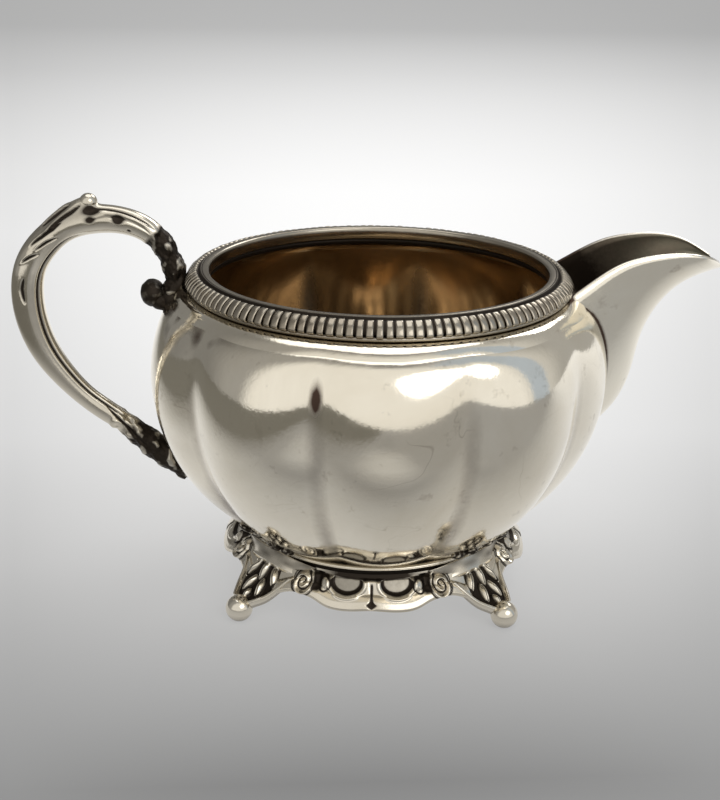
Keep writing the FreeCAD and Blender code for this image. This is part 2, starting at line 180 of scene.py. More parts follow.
def joined(name, parts):
    """Several pieces as one object."""
    whole = bmesh.new()
    for part in parts:
        whole.from_mesh(part.data)
    mesh = bpy.data.meshes.new(name)
    whole.to_mesh(mesh)
    whole.free()
    for part in parts:
        bpy.data.objects.remove(part)
    return placed(name, mesh)


# %% [markdown]
# ## Helpers for materials
# Shader maths reads best as plain sums, so a small class wraps a socket and
# adds a Math node for each operator.  One method makes any other node.


# %% A socket that understands + - * /
class Wire:
    def __init__(self, tree, socket):
        self.tree = tree
        self.socket = socket

    def maths(self, operation, other, swap=False):
        node = self.tree.nodes.new("ShaderNodeMath")
        node.operation = operation
        pair = (other, self) if swap else (self, other)
        for place, value in enumerate(pair):
            put(self.tree, node.inputs[place], value)
        return Wire(self.tree, node.outputs[0])

    def __add__(self, other):
        return self.maths("ADD", other)

    __radd__ = __add__

    def __sub__(self, other):
        return self.maths("SUBTRACT", other)

    def __mul__(self, other):
        return self.maths("MULTIPLY", other)

    def __pow__(self, other):
        return self.maths("POWER", other)


def put(tree, socket, value):
    """Link a wire to a socket, or set the socket's own value."""
    if isinstance(value, Wire):
        tree.links.new(value.socket, socket)
    else:
        socket.default_value = value


class Finish:
    """A material and the ways to add nodes to it."""

    def __init__(self, name):
        self.material = bpy.data.materials.new(name)
        self.material.use_nodes = True
        self.tree = self.material.node_tree
        self.shader = self.tree.nodes["Principled BSDF"]

    def node(self, kind, out=0, settings=None, stops=None, **sockets):
        node = self.tree.nodes.new(kind)
        for key, value in (settings or {}).items():
            setattr(node, key, value)
        if stops:
            ramp = node.color_ramp
            while len(ramp.elements) < len(stops):
                ramp.elements.new(0.5)
            for element, (place, colour) in zip(ramp.elements, stops):
                element.position = place
                element.color = (*colour, 1)
        for key, value in sockets.items():
            # i0, i1 and so on count the inputs; any other word is an input's name
            numbered = key[0] == "i" and key[1:].isdigit()
            put(self.tree, node.inputs[int(key[1:]) if numbered else key], value)
        return Wire(self.tree, node.outputs[out])

    def mix(self, factor, one, two):
        node = self.tree.nodes.new("ShaderNodeMix")
        node.data_type = "RGBA"
        put(self.tree, node.inputs[0], factor)
        for place, value in ((6, one), (7, two)):
            value = (*value, 1) if isinstance(value, tuple) and len(value) == 3 else value
            put(self.tree, node.inputs[place], value)
        return Wire(self.tree, node.outputs[2])

    def ramp(self, factor, stops):
        return self.node("ShaderNodeValToRGB", stops=stops, i0=factor)

    def noise(self, where, scale, detail=3.0, roughness=0.55, distortion=0.0):
        return self.node("ShaderNodeTexNoise", i0=where, Scale=scale, Detail=detail,
                         Roughness=roughness, Distortion=distortion)

    def set(self, **sockets):
        for key, value in sockets.items():
            if isinstance(value, tuple) and len(value) == 3:
                value = (*value, 1)
            put(self.tree, self.shader.inputs[key.replace("_", " ")], value)


# %% [markdown]
# ## Old polished silver
# Silver that has been polished for years is bright on the high places and
# dark in the hollows, where the cloth doesn't reach.  Fine hairlines run in
# all directions and a thin yellow-brown tarnish clouds it.  The darkness of
# a hollow comes with each mesh as an attribute for tarnish and shade; on the
# ball feet and the tops of the legs it also holds painted shade.


# %% The silver finish
def silver(name, colour, rough, tarnish_and_shade_colour=(0.035, 0.028, 0.022), tarnish_and_shade_gain=1.0,
           cloud=(0.62, 0.55, 0.42), cloud_amount=0.35, tide_amount=0.0, waves=0.0):
    finish = Finish(name)
    place = finish.node("ShaderNodeTexCoord", out=3)
    tarnish_and_shade = finish.node("ShaderNodeAttribute", out=2, settings={"attribute_name": "tarnish_and_shade"})
    grain = finish.noise(place, 900.0, 4.0, 0.7)
    patches = finish.noise(place, 34.0, 5.0, 0.6, 0.6)
    patches = finish.ramp(patches, [(0.38, (0, 0, 0)), (0.72, (1, 1, 1))])
    # the darkness attribute is tarnish in the hollows and, on the ball feet and leg tops, painted shade; it
    # mixes in the dark colour
    dark = tarnish_and_shade * tarnish_and_shade_gain + (grain - 0.5) * 0.5 * tarnish_and_shade
    dark = finish.ramp(dark, [(0.12, (0, 0, 0)), (0.62, (1, 1, 1))])
    base = finish.mix(patches * cloud_amount, colour, cloud)
    if tide_amount:
        # dried drops leave thin brown edges
        tide = finish.noise(place, 42.0, 3.0, 0.5, 0.9)
        edge = ((tide - 0.53).maths("ABSOLUTE", 0.0) * -150.0 + 1.0).maths("MAXIMUM", 0.0)
        faint = finish.noise(place, 75.0, 2.0, 0.5)
        edge = edge * finish.ramp(faint, [(0.45, (0, 0, 0)), (0.60, (1, 1, 1))])
        fleck = finish.noise(place, 260.0, 3.0, 0.7)
        fleck = finish.ramp(fleck, [(0.62, (0, 0, 0)), (0.72, (1, 1, 1))])
        base = finish.mix(edge * patches * tide_amount + fleck * 0.22, base, (0.24, 0.18, 0.12))
    base = finish.mix(dark, base, tarnish_and_shade_colour)
    finish.set(Base_Color=base, Metallic=1.0)
    # hairlines: long thin streaks in two directions
    lines = 0.0
    for turn, stretch in ((0.4, (60.0, 2200.0, 900.0)), (-0.9, (1800.0, 90.0, 1300.0))):
        mapped = finish.node("ShaderNodeMapping", Vector=place,
                             Rotation=(0.3, turn, turn * 0.7), Scale=stretch)
        streak = finish.noise(mapped, 1.0, 2.0, 0.5)
        lines = streak + lines
    wear = finish.noise(place, 120.0, 3.0, 0.6)
    finish.set(Roughness=rough + patches * 0.07 + (wear - 0.4) * 0.10 + dark * 0.35 + (lines - 1.0) * 0.06)
    swell = lines + grain * 0.4 + finish.noise(place, 52.0, 2.0, 0.5) * waves
    finish.set(Normal=finish.node("ShaderNodeBump", Strength=0.25, Distance=0.00004, Height=swell))
    return finish.material


body_silver = silver("body_silver", (0.90, 0.845, 0.73), 0.075, tarnish_and_shade_colour=(0.085, 0.055, 0.042),
                     cloud=(0.68, 0.60, 0.46), cloud_amount=0.5, tide_amount=0.40, waves=3.0)
# painted light: the spout gets a brighter copy of the body's silver, standing in for the brighter reflection
# on its flanks
spout_silver_painted_brighter = silver("spout_silver_painted_brighter", (0.97, 0.92, 0.80), 0.11, tarnish_and_shade_colour=(0.085, 0.058, 0.045),
                      cloud=(0.80, 0.72, 0.58), cloud_amount=0.5, tide_amount=0.25, waves=2.0)
cast_silver = silver("cast_silver", (0.73, 0.68, 0.585), 0.13, tarnish_and_shade_gain=1.15,
                     cloud=(0.50, 0.44, 0.33), cloud_amount=0.5)
rim_silver = silver("rim_silver", (0.44, 0.40, 0.33), 0.20, tarnish_and_shade_gain=1.15,
                    cloud=(0.22, 0.18, 0.135), cloud_amount=0.7)
gilt_inside = silver("gilt_inside", (0.54, 0.41, 0.255), 0.15, cloud=(0.32, 0.21, 0.115), cloud_amount=0.75)
spout_patina = silver("spout_patina", (0.19, 0.155, 0.115), 0.26, tarnish_and_shade_colour=(0.022, 0.016, 0.012),
                      cloud=(0.07, 0.10, 0.07), cloud_amount=0.9)

# %% [markdown]
# ## The bowl
# The silversmith raises a round bowl and then pushes creases in between
# ten lobes.  One line gives the crown of a lobe from the flat bottom to
# the neck; round the axis, each lobe falls away from its crown like a shallow
# arch and meets the next one in a soft valley.

# %% The outline of the bowl
BOTTOM = bowl_low[2]
CREASE = 2.1
LOBES = 10
WALL = 1.1
NECK_TOP = 61.0
RIM_RADIUS = 37.7
CROWN = [(26.6, 0.0), (32.0, 4.0), (41.0, 14.8), (45.8, 32.0), (44.0, 42.2), (41.1, 46.6), (36.4, 48.8)]
crown_line = smooth_line([(r, 0.0, BOTTOM + z) for r, z in CROWN], 150)


def lobe_drop(angle, share):
    """How far a lobed wall lies inside its crown, at an angle and a share of
    the way from the bottom to the neck."""
    step = 2 * math.pi / LOBES
    off = np.abs((angle + math.pi / 2 + step / 2) % step - step / 2) / (step / 2)
    soft = 0.13
    valley = 1 - (np.sqrt((1 - off) ** 2 + soft ** 2) - soft) / (math.sqrt(1 + soft ** 2) - soft)
    rise = np.minimum(1.0, 0.35 + share / 0.45)
    fall = np.minimum(1.0, (1.0 - share) / 0.38)
    fade = rise * fall * fall * (3 - 2 * fall)
    return (0.1 + CREASE * fade) * valley ** 2, fade * valley ** 8


def bowl_radius(angle, height):
    """Outside of the bowl and the rim at an angle and a height."""
    share = np.interp(height, crown_line[:, 2], np.linspace(0, 1, len(crown_line)))
    crown = np.interp(height, crown_line[:, 2], crown_line[:, 0])
    drop, _ = lobe_drop(angle, share)
    return np.where(height > NECK_TOP, RIM_RADIUS, crown - drop)


# %% Where tarnish lies on the outside
def near(value, centre, width):
    """1 at the centre, falling smoothly to 0 with the distance."""
    return np.exp(-((value - centre) / width) ** 2)


def outer_soot(angle, height, share, valley, dents):
    """Creases, one dark stain, haze at the low left and mottling by the handle."""
    low_part = unit((0.42 - share) / 0.2)
    creases = valley * (0.23 + 0.14 * low_part)
    stain = np.exp(-((angle - math.radians(252)) * 43 / 0.8) ** 2 - ((height - 52.6) / 2.3) ** 2)
    haze = 0.30 * near(angle, math.radians(203), math.radians(24)) * low_part
    mottle = np.array([noise.noise(Vector((math.cos(a) * 15, math.sin(a) * 15, height * 0.4)))
                       for a in angle])
    mottle = unit(0.25 + 1.3 * mottle) * near(angle, math.radians(208), math.radians(26))
    mottle = 0.75 * mottle * unit((share - 0.80) / 0.12)
    neck = unit((share - 0.90) / 0.07) * (0.16 + 1.2 * dents)
    return creases + 0.95 * stain + neck + haze + mottle


# %% Outer and inner wall as one skin
def bowl_skin():
    angle = np.linspace(0, 2 * math.pi, 400, endpoint=False)
    rows = len(crown_line)
    share = np.linspace(0, 1, rows)
    tangent = np.gradient(crown_line, axis=0)
    tangent /= np.linalg.norm(tangent, axis=1)[:, None]
    skin, shade = [], []
    for wall, order in ((0.0, range(rows)), (WALL, range(rows - 1, -1, -3))):
        for i in order:
            drop, valley = lobe_drop(angle, share[i])
            radius = crown_line[i, 0] - drop - wall * tangent[i, 2]
            height = min(crown_line[i, 2] + wall * abs(tangent[i, 0]), crown_line[-1, 2])
            # the hammer leaves shallow dents
            dents = np.array([noise.noise(Vector((math.cos(a) * 1.9, math.sin(a) * 1.9, height * 0.045)))
                              for a in angle]) * 0.16 * math.sin(math.pi * share[i])
            radius = radius + dents
            level = np.full_like(angle, height)
            skin.append(np.stack([radius * np.cos(angle), radius * np.sin(angle), level], -1))
            outside = outer_soot(angle, height, share[i], valley, dents)
            shade.append(valley * 0.5 if wall else outside)
    return np.array(skin), np.array(shade)


bowl_grid, bowl_soot = bowl_skin()
row_height = bowl_grid[:-1, 0, 2]
column = np.arctan2(bowl_grid[0, :, 1], bowl_grid[0, :, 0])
PORT_HALF_WIDTH, PORT_LOW, PORT_HIGH = 7.0, 44.9, 59.2
port = np.zeros((len(bowl_grid) - 1, bowl_grid.shape[1]), bool)
for i in range(len(port)):
    reach = np.abs(np.sin(column)) * np.linalg.norm(bowl_grid[i, :, :2], axis=1)
    if PORT_LOW < row_height[i] < PORT_HIGH:
        port[i] = (reach < PORT_HALF_WIDTH) & (np.cos(column) > 0)
bowl = grid_piece("silver_bowl", bowl_grid, around=True, tarnish_and_shade=bowl_soot, holes=port)
shape = bmesh.new()
shape.from_mesh(bowl.data)
open_edges = [e for e in shape.edges if e.is_boundary]
low_loop = [e for e in open_edges if all(abs(v.co.z - BOTTOM * MM) < 1e-6 for v in e.verts)]
floor_height = min(bowl_grid[-1, :, 2]) * MM
inner_loop = [e for e in open_edges if all(abs(v.co.z - floor_height) < 2e-5 for v in e.verts)]
bmesh.ops.contextual_create(shape, geom=low_loop)
bmesh.ops.contextual_create(shape, geom=inner_loop)
port_edges = [e for e in shape.edges if e.is_boundary]
print("edges round the port", len(port_edges))
if port_edges:
    bmesh.ops.bridge_loops(shape, edges=port_edges)
shape.faces.ensure_lookup_table()
shape.normal_update()
shape.to_mesh(bowl.data)
shape.free()
outward(bowl)
bowl.data.polygons.foreach_set("use_smooth", [True] * len(bowl.data.polygons))
print("bowl faces", len(bowl.data.polygons))

# %% Gilt inside, bright outside
bowl.data.materials.append(body_silver)
bowl.data.materials.append(gilt_inside)
for face in bowl.data.polygons:
    centre = face.center
    outer = np.hypot(centre.x, centre.y) / MM
    wall = bowl_radius(math.atan2(centre.y, centre.x), centre.z / MM)
    inside = outer < wall - 0.55 and centre.z > (BOTTOM + 0.3) * MM
    face.material_index = int(inside)

# %% [markdown]
# ## The rim
# Three turned rings: a plain bead where the neck ends, a gadrooned band and a
# flat lip.  The ribs of the band repeat all the way round, so Geometry Nodes
# set one rounded rib on each point of a circle.

# %% Bead, lip and the core of the band
TOP = rim_high[2]
LIP = 35.1
BAND = band_high[0] - AHEAD
bead = turned_piece("under_bead", [
    (34.0, TOP - 3.9, 0.9), (36.6, TOP - 3.95, 0.9), (37.15, TOP - 3.75, 0.25), (37.5, TOP - 3.4, 0.0),
    (37.5, TOP - 3.15, 0.0), (37.2, TOP - 2.9, 0.4), (36.7, TOP - 2.75, 1.0), (34.0, TOP - 2.7, 1.0)])
lip = turned_piece("mouth_lip", [
    (33.2, TOP - 2.3, 0.1), (33.2, TOP - 0.5, 0.0), (33.35, TOP - 0.15, 0.0), (33.65, TOP, 0.0),
    (34.45, TOP, 0.0), (34.52, TOP - 0.03, 0.5), (34.6, TOP - 0.16, 0.9), (34.68, TOP - 0.03, 0.5),
    (34.75, TOP, 0.05), (34.9, TOP - 0.03, 0.6), (35.0, TOP - 0.3, 1.0), (LIP, TOP - 0.4, 1.0),
    (LIP, TOP - 2.6, 0.8), (33.5, TOP - 2.7, 0.5)])
core = turned_piece("band_core", [
    (LIP, TOP - 0.5, 1.0), (36.0, TOP - 0.45, 0.7), (36.8, TOP - 0.9, 0.7), (37.3, TOP - 1.6, 0.7),
    (37.35, TOP - 2.3, 0.7), (37.0, TOP - 2.7, 0.8), (LIP, TOP - 2.7, 1.0)])


# %% A tree of nodes that sets the ribs round the band
def rib_tree():
    tree = bpy.data.node_groups.new("gadroon_ribs", "GeometryNodeTree")
    face = tree.interface
    face.new_socket("Geometry", in_out="INPUT", socket_type="NodeSocketGeometry")
    for name, value in (("Radius", 0.03655), ("Height", 0.0633), ("Length", 0.0034), ("Width", 0.00138),
                        ("Depth", 0.0012), ("Tilt", -0.76), ("Bulge", 0.00042)):
        socket = face.new_socket(name, in_out="INPUT", socket_type="NodeSocketFloat")
        socket.default_value = value
    socket = face.new_socket("Count", in_out="INPUT", socket_type="NodeSocketInt")
    socket.default_value = 138
    face.new_socket("Material", in_out="INPUT", socket_type="NodeSocketMaterial")
    face.new_socket("Geometry", in_out="OUTPUT", socket_type="NodeSocketGeometry")
    new = tree.nodes.new
    given = new("NodeGroupInput").outputs
    end = new("NodeGroupOutput")

    def fill(socket, value):
        if isinstance(value, bpy.types.NodeSocket):
            tree.links.new(value, socket)
        else:
            socket.default_value = value

    def step(kind, *first, **named):
        """A new node with its first inputs in order and others by name."""
        node = new(kind)
        for place, value in enumerate(first):
            fill(node.inputs[place], value)
        for name, value in named.items():
            fill(node.inputs[name.replace("_", " ")], value)
        return node.outputs[0]

    def maths(operation, one, two):
        node = new("ShaderNodeMath")
        node.operation = operation
        fill(node.inputs[0], one)
        fill(node.inputs[1], two)
        return node.outputs[0]

    def vector(x=0.0, y=0.0, z=0.0):
        return step("ShaderNodeCombineXYZ", x, y, z)

    def position():
        return step("ShaderNodeSeparateXYZ", step("GeometryNodeInputPosition")).node.outputs

    circle = step("GeometryNodeMeshCircle", given["Count"], given["Radius"])
    # a bar with rounded edges, a little taller than it is wide
    bar = step("GeometryNodeMeshCube", Vertices_X=2, Vertices_Y=2, Vertices_Z=5,
               Size=vector(given["Depth"], given["Width"], given["Length"]))
    soft = step("GeometryNodeSubdivisionSurface", bar, Level=2, Edge_Crease=0.45)
    # bend it outwards along its length, then lean it
    share = maths("DIVIDE", position()[2], maths("MULTIPLY", given["Length"], 0.5))
    lift = maths("MULTIPLY", maths("SUBTRACT", 1.0, maths("MULTIPLY", share, share)), given["Bulge"])
    bent = step("GeometryNodeSetPosition", soft, Offset=vector(lift))
    shaped = step("GeometryNodeTransform", bent, Rotation=vector(y=given["Tilt"]))
    # one on each point of the circle, facing outwards, each a little different
    on_circle = position()
    spin = vector(z=maths("ARCTAN2", on_circle[1], on_circle[0]))
    uneven = new("FunctionNodeRandomValue")
    uneven.data_type = "FLOAT_VECTOR"
    uneven.inputs["Min"].default_value = (0.90, 0.84, 0.95)
    uneven.inputs["Max"].default_value = (1.04, 1.06, 1.02)
    uneven.inputs["Seed"].default_value = 7
    round_rim = step("GeometryNodeInstanceOnPoints", circle, Instance=shaped, Rotation=spin,
                     Scale=uneven.outputs[0])
    raised = step("GeometryNodeTransform", round_rim, Translation=vector(z=given["Height"]))
    smooth = step("GeometryNodeSetShadeSmooth", step("GeometryNodeRealizeInstances", raised))
    paint = step("GeometryNodeSetMaterial", smooth, Material=given["Material"])
    tree.links.new(paint, end.inputs[0])
    return tree


def from_tree(name, tree, **values):
    """A plain mesh from a tree of nodes and the values of its inputs."""
    holder = bpy.data.objects.new(name + "_holder", bpy.data.meshes.new(name + "_holder"))
    bpy.context.collection.objects.link(holder)
    modifier = holder.modifiers.new("tree", "NODES")
    modifier.node_group = tree
    for item in tree.interface.items_tree:
        if item.in_out == "INPUT" and item.name in values:
            modifier[item.identifier] = values[item.name]
    graph = bpy.context.evaluated_depsgraph_get()
    mesh = bpy.data.meshes.new_from_object(holder.evaluated_get(graph))
    mesh.name = name
    bpy.data.objects.remove(holder)
    return placed(name, mesh)


ribs = from_tree("gadroon_ribs", rib_tree(), Height=(TOP - 1.75) * MM, Material=rim_silver)
print("rib faces", len(ribs.data.polygons))

# %% [markdown]
# ## The spout
# The beak is one sheet, bent into a trough and soldered over the port in the
# bowl's wall.  Each cross section is half an ellipse between the two edges
# and the keel; the sheet starts exactly where it meets the lobed wall, so the
# joint follows every lobe.

# %% Sections of the trough
REACH = spout_high[0] - AHEAD
STATIONS = np.array([
    # edge x, half width, edge z, keel x, keel z
    (REACH - 35.6, 12.5, 59.3, REACH - 25.6, 29.5),
    (REACH - 30.1, 11.2, 62.9, REACH - 19.0, 36.0),
    (REACH - 24.6, 10.2, 66.4, REACH - 16.3, 42.5),
    (REACH - 19.0, 9.8, 68.6, REACH - 15.1, 50.5),
    (REACH - 13.5, 9.6, 69.35, REACH - 12.6, 57.0),
    (REACH - 8.5, 9.1, 69.25, REACH - 8.2, 61.9),
    (REACH - 4.0, 7.0, 68.1, REACH - 3.4, 64.1),
    (REACH - 1.0, 3.4, 66.4, REACH - 0.05, 64.8),
])
SHEET = 1.0
ROUND = 49
stations = smooth_line(np.c_[STATIONS[:, 3], STATIONS[:, 1] * 0, STATIONS[:, 4], STATIONS[:, :3]], 160)


def trough_point(station, angle, inset):
    """A point of the section: angle runs from one edge over the keel to the other."""
    keel_x, _, keel_z, edge_x, half, edge_z = station
    down = np.array([keel_x - edge_x, 0.0, keel_z - edge_z])
    depth = np.linalg.norm(down)
    down /= depth
    across = max(0.15, half - inset) * math.cos(angle)
    deep = max(0.15, depth - inset) * math.sin(angle)
    return np.array([edge_x, 0, edge_z]) + down * deep + np.array([0.0, across, 0.0])


def spout_skin():
    around = np.linspace(0, math.pi, ROUND)
    middle = SHEET * 0.5
    loops = [(a, 0.0) for a in around] + [(math.pi, middle)]
    loops += [(a, SHEET) for a in around[::-1]] + [(0.0, middle)]
    lines = []
    for angle, inset in loops:
        line = np.array([trough_point(s, angle, inset) for s in stations])
        if inset == middle:
            line[:, 2] += 0.28
        radius = np.hypot(line[:, 0], line[:, 1])
        wall = bowl_radius(np.arctan2(line[:, 1], line[:, 0]), line[:, 2]) - 0.35
        inside = np.nonzero(radius < wall)[0]
        first = inside[-1] if len(inside) else 0
        if first + 1 < len(line) and len(inside):
            gap = (wall - radius)[first] / ((wall - radius)[first] - (wall - radius)[first + 1])
            start = line[first] + gap * (line[first + 1] - line[first])
        else:
            start = line[0]
        rest = np.vstack([start, line[first + 1:]])
        run = np.r_[0, np.cumsum(np.linalg.norm(np.diff(rest, axis=0), axis=1))]
        at = np.linspace(0, 1, 110) * run[-1]
        lines.append(np.stack([np.interp(at, run, rest[:, k]) for k in range(3)], -1))
    return np.array(lines).transpose(1, 0, 2)


spout_grid = spout_skin()
count = spout_grid.shape[1]
spout_soot = np.zeros(spout_grid.shape[:2])
along = np.linspace(0, 1, len(spout_grid))[:, None]
outer_half = np.arange(count)[None, :] < ROUND
# a black line where the spout meets the bowl
gap = np.hypot(spout_grid[..., 0], spout_grid[..., 1]) - bowl_radius(
    np.arctan2(spout_grid[..., 1], spout_grid[..., 0]), spout_grid[..., 2])
spout_soot += 0.85 * np.exp(-(gap / 0.55) ** 2) * outer_half
# inside, old cream has left a patina that is darkest next to the bowl
patina = 0.48 - 0.30 * unit((along - 0.15) / 0.7) + 0.45 * near(along, 0, 0.18)
spout_soot += ~outer_half * patina
spout = outward(grid_piece("beak_spout", spout_grid, around=True, tarnish_and_shade=spout_soot, caps=True))
spout.data.materials.append(spout_silver_painted_brighter)
spout.data.materials.append(spout_patina)
for face in spout.data.polygons:
    columns_of = [v % count for v in face.vertices]
    within = min(columns_of) >= ROUND + 2 and max(columns_of) < count - 1
    face.material_index = int(within and len(columns_of) == 4)
print("spout faces", len(spout.data.polygons))

# %% [markdown]
# ## The handle
# The handle is one casting.  Its round bar swells and thins along a scroll,
# with a leaf wrapped over the arch, a bud on top, a groove along the inner
# side and a leaf at each end, dark in every hollow.

# %% Centre line and thickness
BACK = handle_low[0] - AHEAD
ARCH = 76.9
SCROLL = [
    (26.9, -16.4, 1.50), (29.6, -18.0, 1.90), (31.7, -15.6, 2.10), (31.4, -11.9, 2.10),
    (29.5, -7.6, 2.20), (26.4, -4.6, 2.40), (21.7, -2.9, 2.60), (16.6, -2.7, 2.80),
    (11.7, -3.9, 2.80), (7.0, -7.4, 2.90), (4.0, -12.0, 3.00), (3.0, -17.0, 3.05),
    (3.4, -22.6, 3.00), (5.3, -28.6, 2.80), (9.2, -34.8, 2.40), (13.2, -39.2, 2.15),
    (17.2, -42.4, 2.15), (20.8, -45.1, 2.15), (25.1, -48.9, 2.65), (29.4, -52.7, 2.50),
    (33.1, -55.8, 2.00),
]
scroll = smooth_line([(BACK + x, 0.0, ARCH + z, r) for x, z, r in SCROLL], 420)


# s runs from 0 to 1 along the bar, so this makes it measure like the angle
ALONG = 37.0


def stroke(s, a, path, width):
    """How close each place (s along, a round the bar) is to a drawn stroke.
    path holds (s, a) corners."""
    best = np.zeros(np.broadcast(s, a).shape)
    for k, ((s0, a0), (s1, a1)) in enumerate(zip(path[:-1], path[1:])):
        run = np.array([(s1 - s0) * ALONG, a1 - a0])
        at = ((s - s0) * ALONG * run[0] + (a - a0) * run[1]) / (run @ run)
        at = unit(at)
        gap = np.hypot((s - s0) * ALONG - at * run[0], (a - a0) - at * run[1])
        taper = 0.3 + 0.7 * np.sin(math.pi * (k + at) / (len(path) - 1)) ** 0.8
        best = np.maximum(best, np.exp(-(gap / (width * taper)) ** 2) * np.minimum(1, 0.3 + taper))
    return best


LEAF_CUTS = [
    [(0.303, 0.42), (0.322, 0.72), (0.346, 0.95), (0.372, 1.15)],
    [(0.341, 1.08), (0.360, 1.22), (0.384, 1.14), (0.408, 0.96)],
    [(0.362, 1.86), (0.384, 1.62), (0.408, 1.44)],
    [(0.413, 1.70), (0.425, 1.38), (0.442, 1.02)],
    [(0.318, 0.20), (0.345, 0.45), (0.372, 0.55)],
]
SLIT = [(0.468, 1.46), (0.489, 1.40), (0.515, 1.56)]
TOP_GROOVE = [(0.288, 0.62), (0.262, 0.62), (0.239, 0.68), (0.205, 0.84), (0.180, 0.92)]
TOP_GROOVE_2 = [(0.288, 1.45), (0.262, 1.18), (0.235, 1.20), (0.200, 1.36), (0.178, 1.45)]
SPOTS = [(0.291, 1.45, 0.008, 0.22, 0.8), (0.241, 1.36, 0.0085, 0.30, 1.3), (0.217, 2.02, 0.004, 0.10, 0.8)]


def handle_skin():
    rows = len(scroll)
    columns = 96
    centre = scroll[:, :3]
    radius = scroll[:, 3][:, None]
    tangent = np.gradient(centre, axis=0)
    tangent /= np.linalg.norm(tangent, axis=1)[:, None]
    # the outer side of the scroll: to the left of the way it runs
    outer = np.stack([tangent[:, 2], np.zeros(rows), -tangent[:, 0]], -1)
    length = np.r_[0, np.cumsum(np.linalg.norm(np.diff(centre, axis=0), axis=1))]
    s = (length / length[-1])[:, None]
    a = np.linspace(0, 2 * math.pi, columns, endpoint=False)[None, :]
    side = np.abs((a + math.pi) % (2 * math.pi) - math.pi) + 0.0 * s
    relief = np.zeros((rows, columns))
    # groove along the inner side, with a bead beyond it
    shaft = unit((s - 0.30) / 0.10) * unit((0.84 - s) / 0.06)
    groove = near(side, 2.46, 0.12) * shaft
    relief -= 0.50 * groove
    relief += 0.16 * near(side, 2.22, 0.14) * shaft + 0.12 * near(side, 2.95, 0.3) * shaft
    # the leaf over the arch: its scales overlap, each with an undercut edge
    cuts = np.zeros_like(relief)
    for path in LEAF_CUTS:
        cut = stroke(s, side, path, 0.085)
        shifted = stroke(s - 0.0045, side + 0.10, path, 0.16)
        relief -= 0.42 * cut
        relief += 0.20 * shifted * (1 - cut)
        cuts = np.maximum(cuts, 0.75 * cut)
    slit = stroke(s, side, SLIT, 0.13)
    relief -= 0.38 * slit
    cuts = np.maximum(cuts, 0.8 * slit)
    # two long ridges from the bud down to the knobbly leaf
    for path, deep in ((TOP_GROOVE, 0.30), (TOP_GROOVE_2, 0.16)):
        line = stroke(s, side, path, 0.11)
        relief -= deep * line
        cuts = np.maximum(cuts, line * (0.7 if deep > 0.2 else 0.35))
    relief += 0.16 * stroke(s, side, [(0.285, 0.98), (0.240, 0.92), (0.185, 1.15)], 0.12)
    spots = np.zeros_like(relief)
    for at, turn, long, wide, dark in SPOTS:
        spots += near(s, at, long) * near(side, turn, wide) * dark
    relief -= 0.22 * spots
    # the nose of the bud: a slow climb from the back, a steep fall to the rim
    tip = 0.292
    nose = np.where(s < tip, near(s, tip, 0.010), unit(1 - (s - tip) / 0.085) ** 1.25)
    relief += 1.9 * nose * near(side, 0.0, 0.55)
    throat = near(s, 0.287, 0.012) * near(side, 0.78, 0.26)
    relief -= 0.55 * throat
    # knobbly leaf by the curl and at the tail
    lobes = np.zeros_like(relief)
    grain = np.array([[noise.noise(Vector((p * 46.0, q * 1.6, 4.2)))
                       + 0.6 * noise.noise(Vector((p * 120.0, q * 3.6, 1.2)))
                       for q in side[i]] for i, p in enumerate(s[:, 0])])
    for start, end, strength in ((-0.02, 0.182, 1.0), (0.80, 1.05, 0.85)):
        zone = unit((s - start) / 0.02) * unit((end - s) / 0.02)
        scales = np.sin(s * 150.0 + 2.0 * side) * np.cos(2.0 * side + 9 * s) + 1.5 * grain
        relief += 0.30 * strength * scales * zone * (0.45 + 0.55 * near(side, 1.0, 1.1))
        lobes += zone * np.clip(0.80 - 0.42 * scales, 0.34, 1) * strength
    lobes *= np.where(s < 0.5, 1.0, np.clip((s - 0.83) / 0.03, 0.15, 1))
    tail_line = stroke(s, side, [(0.785, 2.30), (0.82, 1.90), (0.86, 1.55), (0.92, 1.30)], 0.12)
    relief -= 0.3 * tail_line
    size = radius + relief
    across = -np.sin(a) * size
    out = np.cos(a) * size
    grid = centre[:, None, :] + outer[:, None, :] * out[..., None]
    grid = grid + np.array([0, -1.0, 0]) * across[..., None]
    tarnish_and_shade = 0.85 * groove + cuts + lobes + 1.1 * spots + 1.2 * throat + 0.9 * tail_line
    tarnish_and_shade = tarnish_and_shade + 0.28 * near(s, 0.34, 0.07) * near(side, 0.9, 0.6) + 0.26 * near(side, 0.0, 0.6) * shaft
    return grid, tarnish_and_shade


handle_grid, handle_soot = handle_skin()
bar = grid_piece("scroll_bar", handle_grid, around=True, tarnish_and_shade=handle_soot, caps=True)


def bud_part(name, centre, sizes, tilt, tarnish_and_shade=0.0, rough=0.0):
    """A small rounded lump of the casting."""
    shape = bmesh.new()
    bmesh.ops.create_icosphere(shape, subdivisions=4, radius=1.0)
    mesh = bpy.data.meshes.new(name)
    shade = []
    for vertex in shape.verts:
        wave = noise.noise(vertex.co * 2.3 + Vector(centre)) * rough
        vertex.co *= 1 + wave
        shade.append(min(1, max(0, tarnish_and_shade - wave * 3.0 * (rough > 0))))
    matrix = Matrix.Translation(Vector(centre) * MM) @ Matrix.Rotation(tilt, 4, "Y")
    matrix = matrix @ Matrix.Diagonal((*(Vector(sizes) * MM), 1))
    bmesh.ops.transform(shape, matrix=matrix, verts=shape.verts)
    shape.to_mesh(mesh)
    shape.free()
    note_tarnish_and_shade(mesh, shade)
    return placed(name, mesh)


